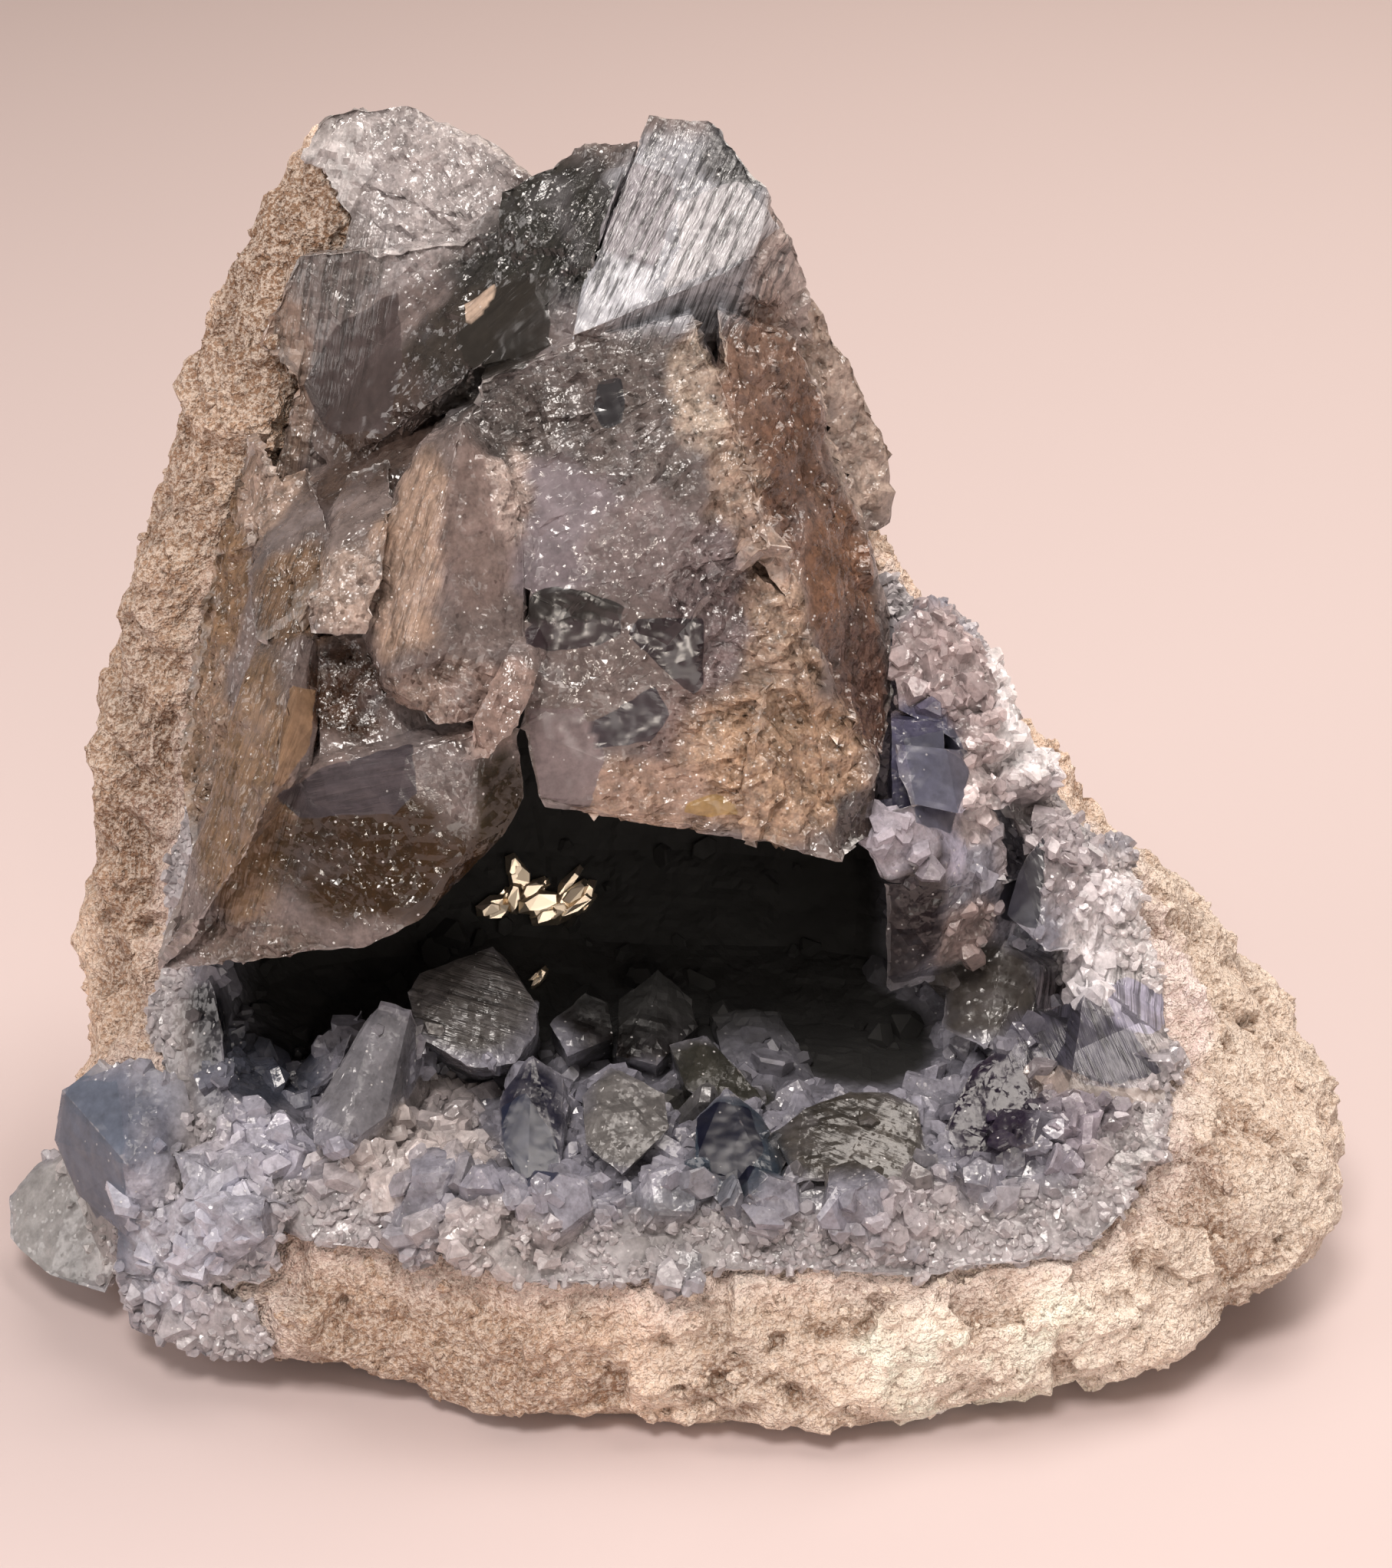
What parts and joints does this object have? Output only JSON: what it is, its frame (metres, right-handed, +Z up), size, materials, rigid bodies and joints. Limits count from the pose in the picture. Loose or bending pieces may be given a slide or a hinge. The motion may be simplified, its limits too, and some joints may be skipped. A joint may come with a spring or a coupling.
{
  "type": "celestite crystal cluster",
  "caption": "Broken geode piece: blue-grey celestite crystals line and overhang a dark hollow on a cream rock rind that rests on a flat patch.",
  "frame": {"origin": "bottom centre of the bounding box, in the plane of the flat patch that the specimen rests on", "axes": "+Z up, -Y the open side of the hollow, X along the specimen's length with the crystal-covered corner at -X"},
  "size_m": [0.1324, 0.0871, 0.111],
  "materials": {
    "limestone": "rough cream marly limestone, crumbly on its broken faces",
    "smoky_celestite": "clear to cloudy smoky grey crystal with glossy faces, striations and beige coated edges",
    "blue_celestite": "clear to milky blue-grey crystal with glossy faces"
  },
  "bodies": {
    "root": {"matrix": "limestone", "crown_crystals": "smoky_celestite", "crystal_crust": "blue_celestite"}
  },
  "joints": []
}
